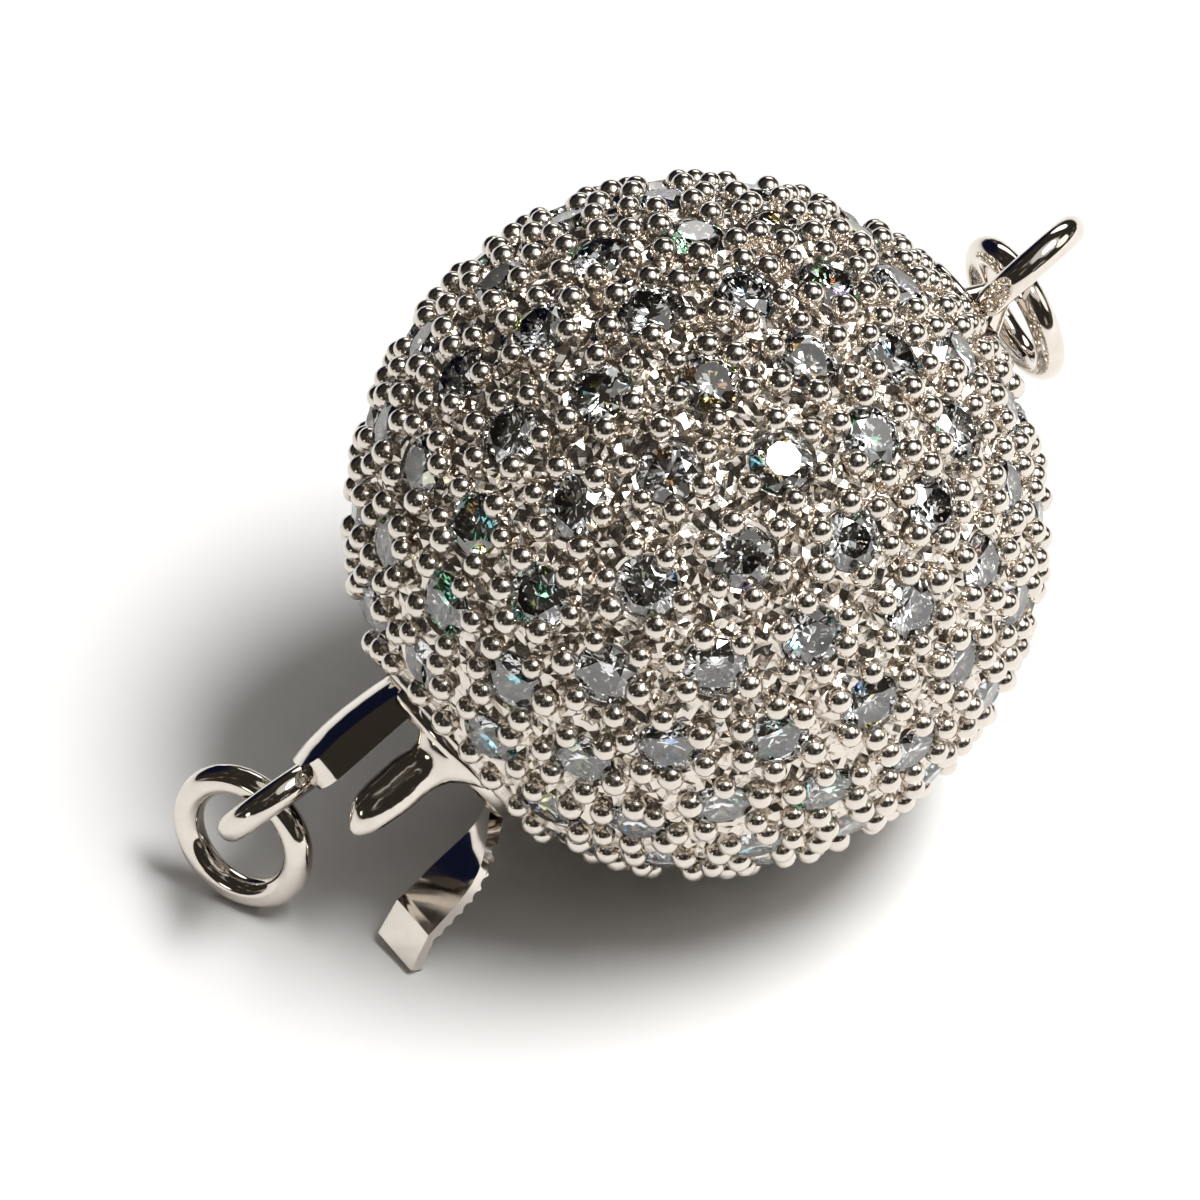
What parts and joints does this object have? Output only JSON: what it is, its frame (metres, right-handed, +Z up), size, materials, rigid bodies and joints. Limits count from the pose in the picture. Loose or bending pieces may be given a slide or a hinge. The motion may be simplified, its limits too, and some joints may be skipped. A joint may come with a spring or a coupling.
{
  "type": "ball clasp",
  "caption": "Round pave-set ball clasp in polished white metal: a hollow ball with a push-in spring tongue, thumb tab, guard petal, wire loops and jump rings.",
  "frame": {"origin": "middle of the bounding box, on the table that the clasp lies on", "axes": "+Z up from the table, -X towards the tongue's end, -Y towards the side that the picture shows"},
  "size_m": [0.0188, 0.0136, 0.0136],
  "materials": {
    "white_gold": "polished",
    "stone": "polished"
  },
  "bodies": {
    "ball": {"ball_setting": "white_gold", "pave_stones": "stone", "ball_ring": "white_gold"},
    "tongue": {"tongue_base": "white_gold", "tongue_ring": "white_gold"},
    "leaf": {"spring_leaf": "white_gold"}
  },
  "joints": [
    {"name": "tongue_slide", "type": "slide", "parent": "ball", "child": "tongue", "axis": [-0.8712, 0, -0.4909], "range_m": [0, 0.005]},
    {"name": "trigger_press", "type": "hinge", "parent": "tongue", "child": "leaf", "pos_m": [-0.00139, 0, 0.00557], "axis": [0.283, 0.8171, -0.5022], "range_deg": [0, 7], "stiffness_Nm_per_rad": 0.1}
  ]
}
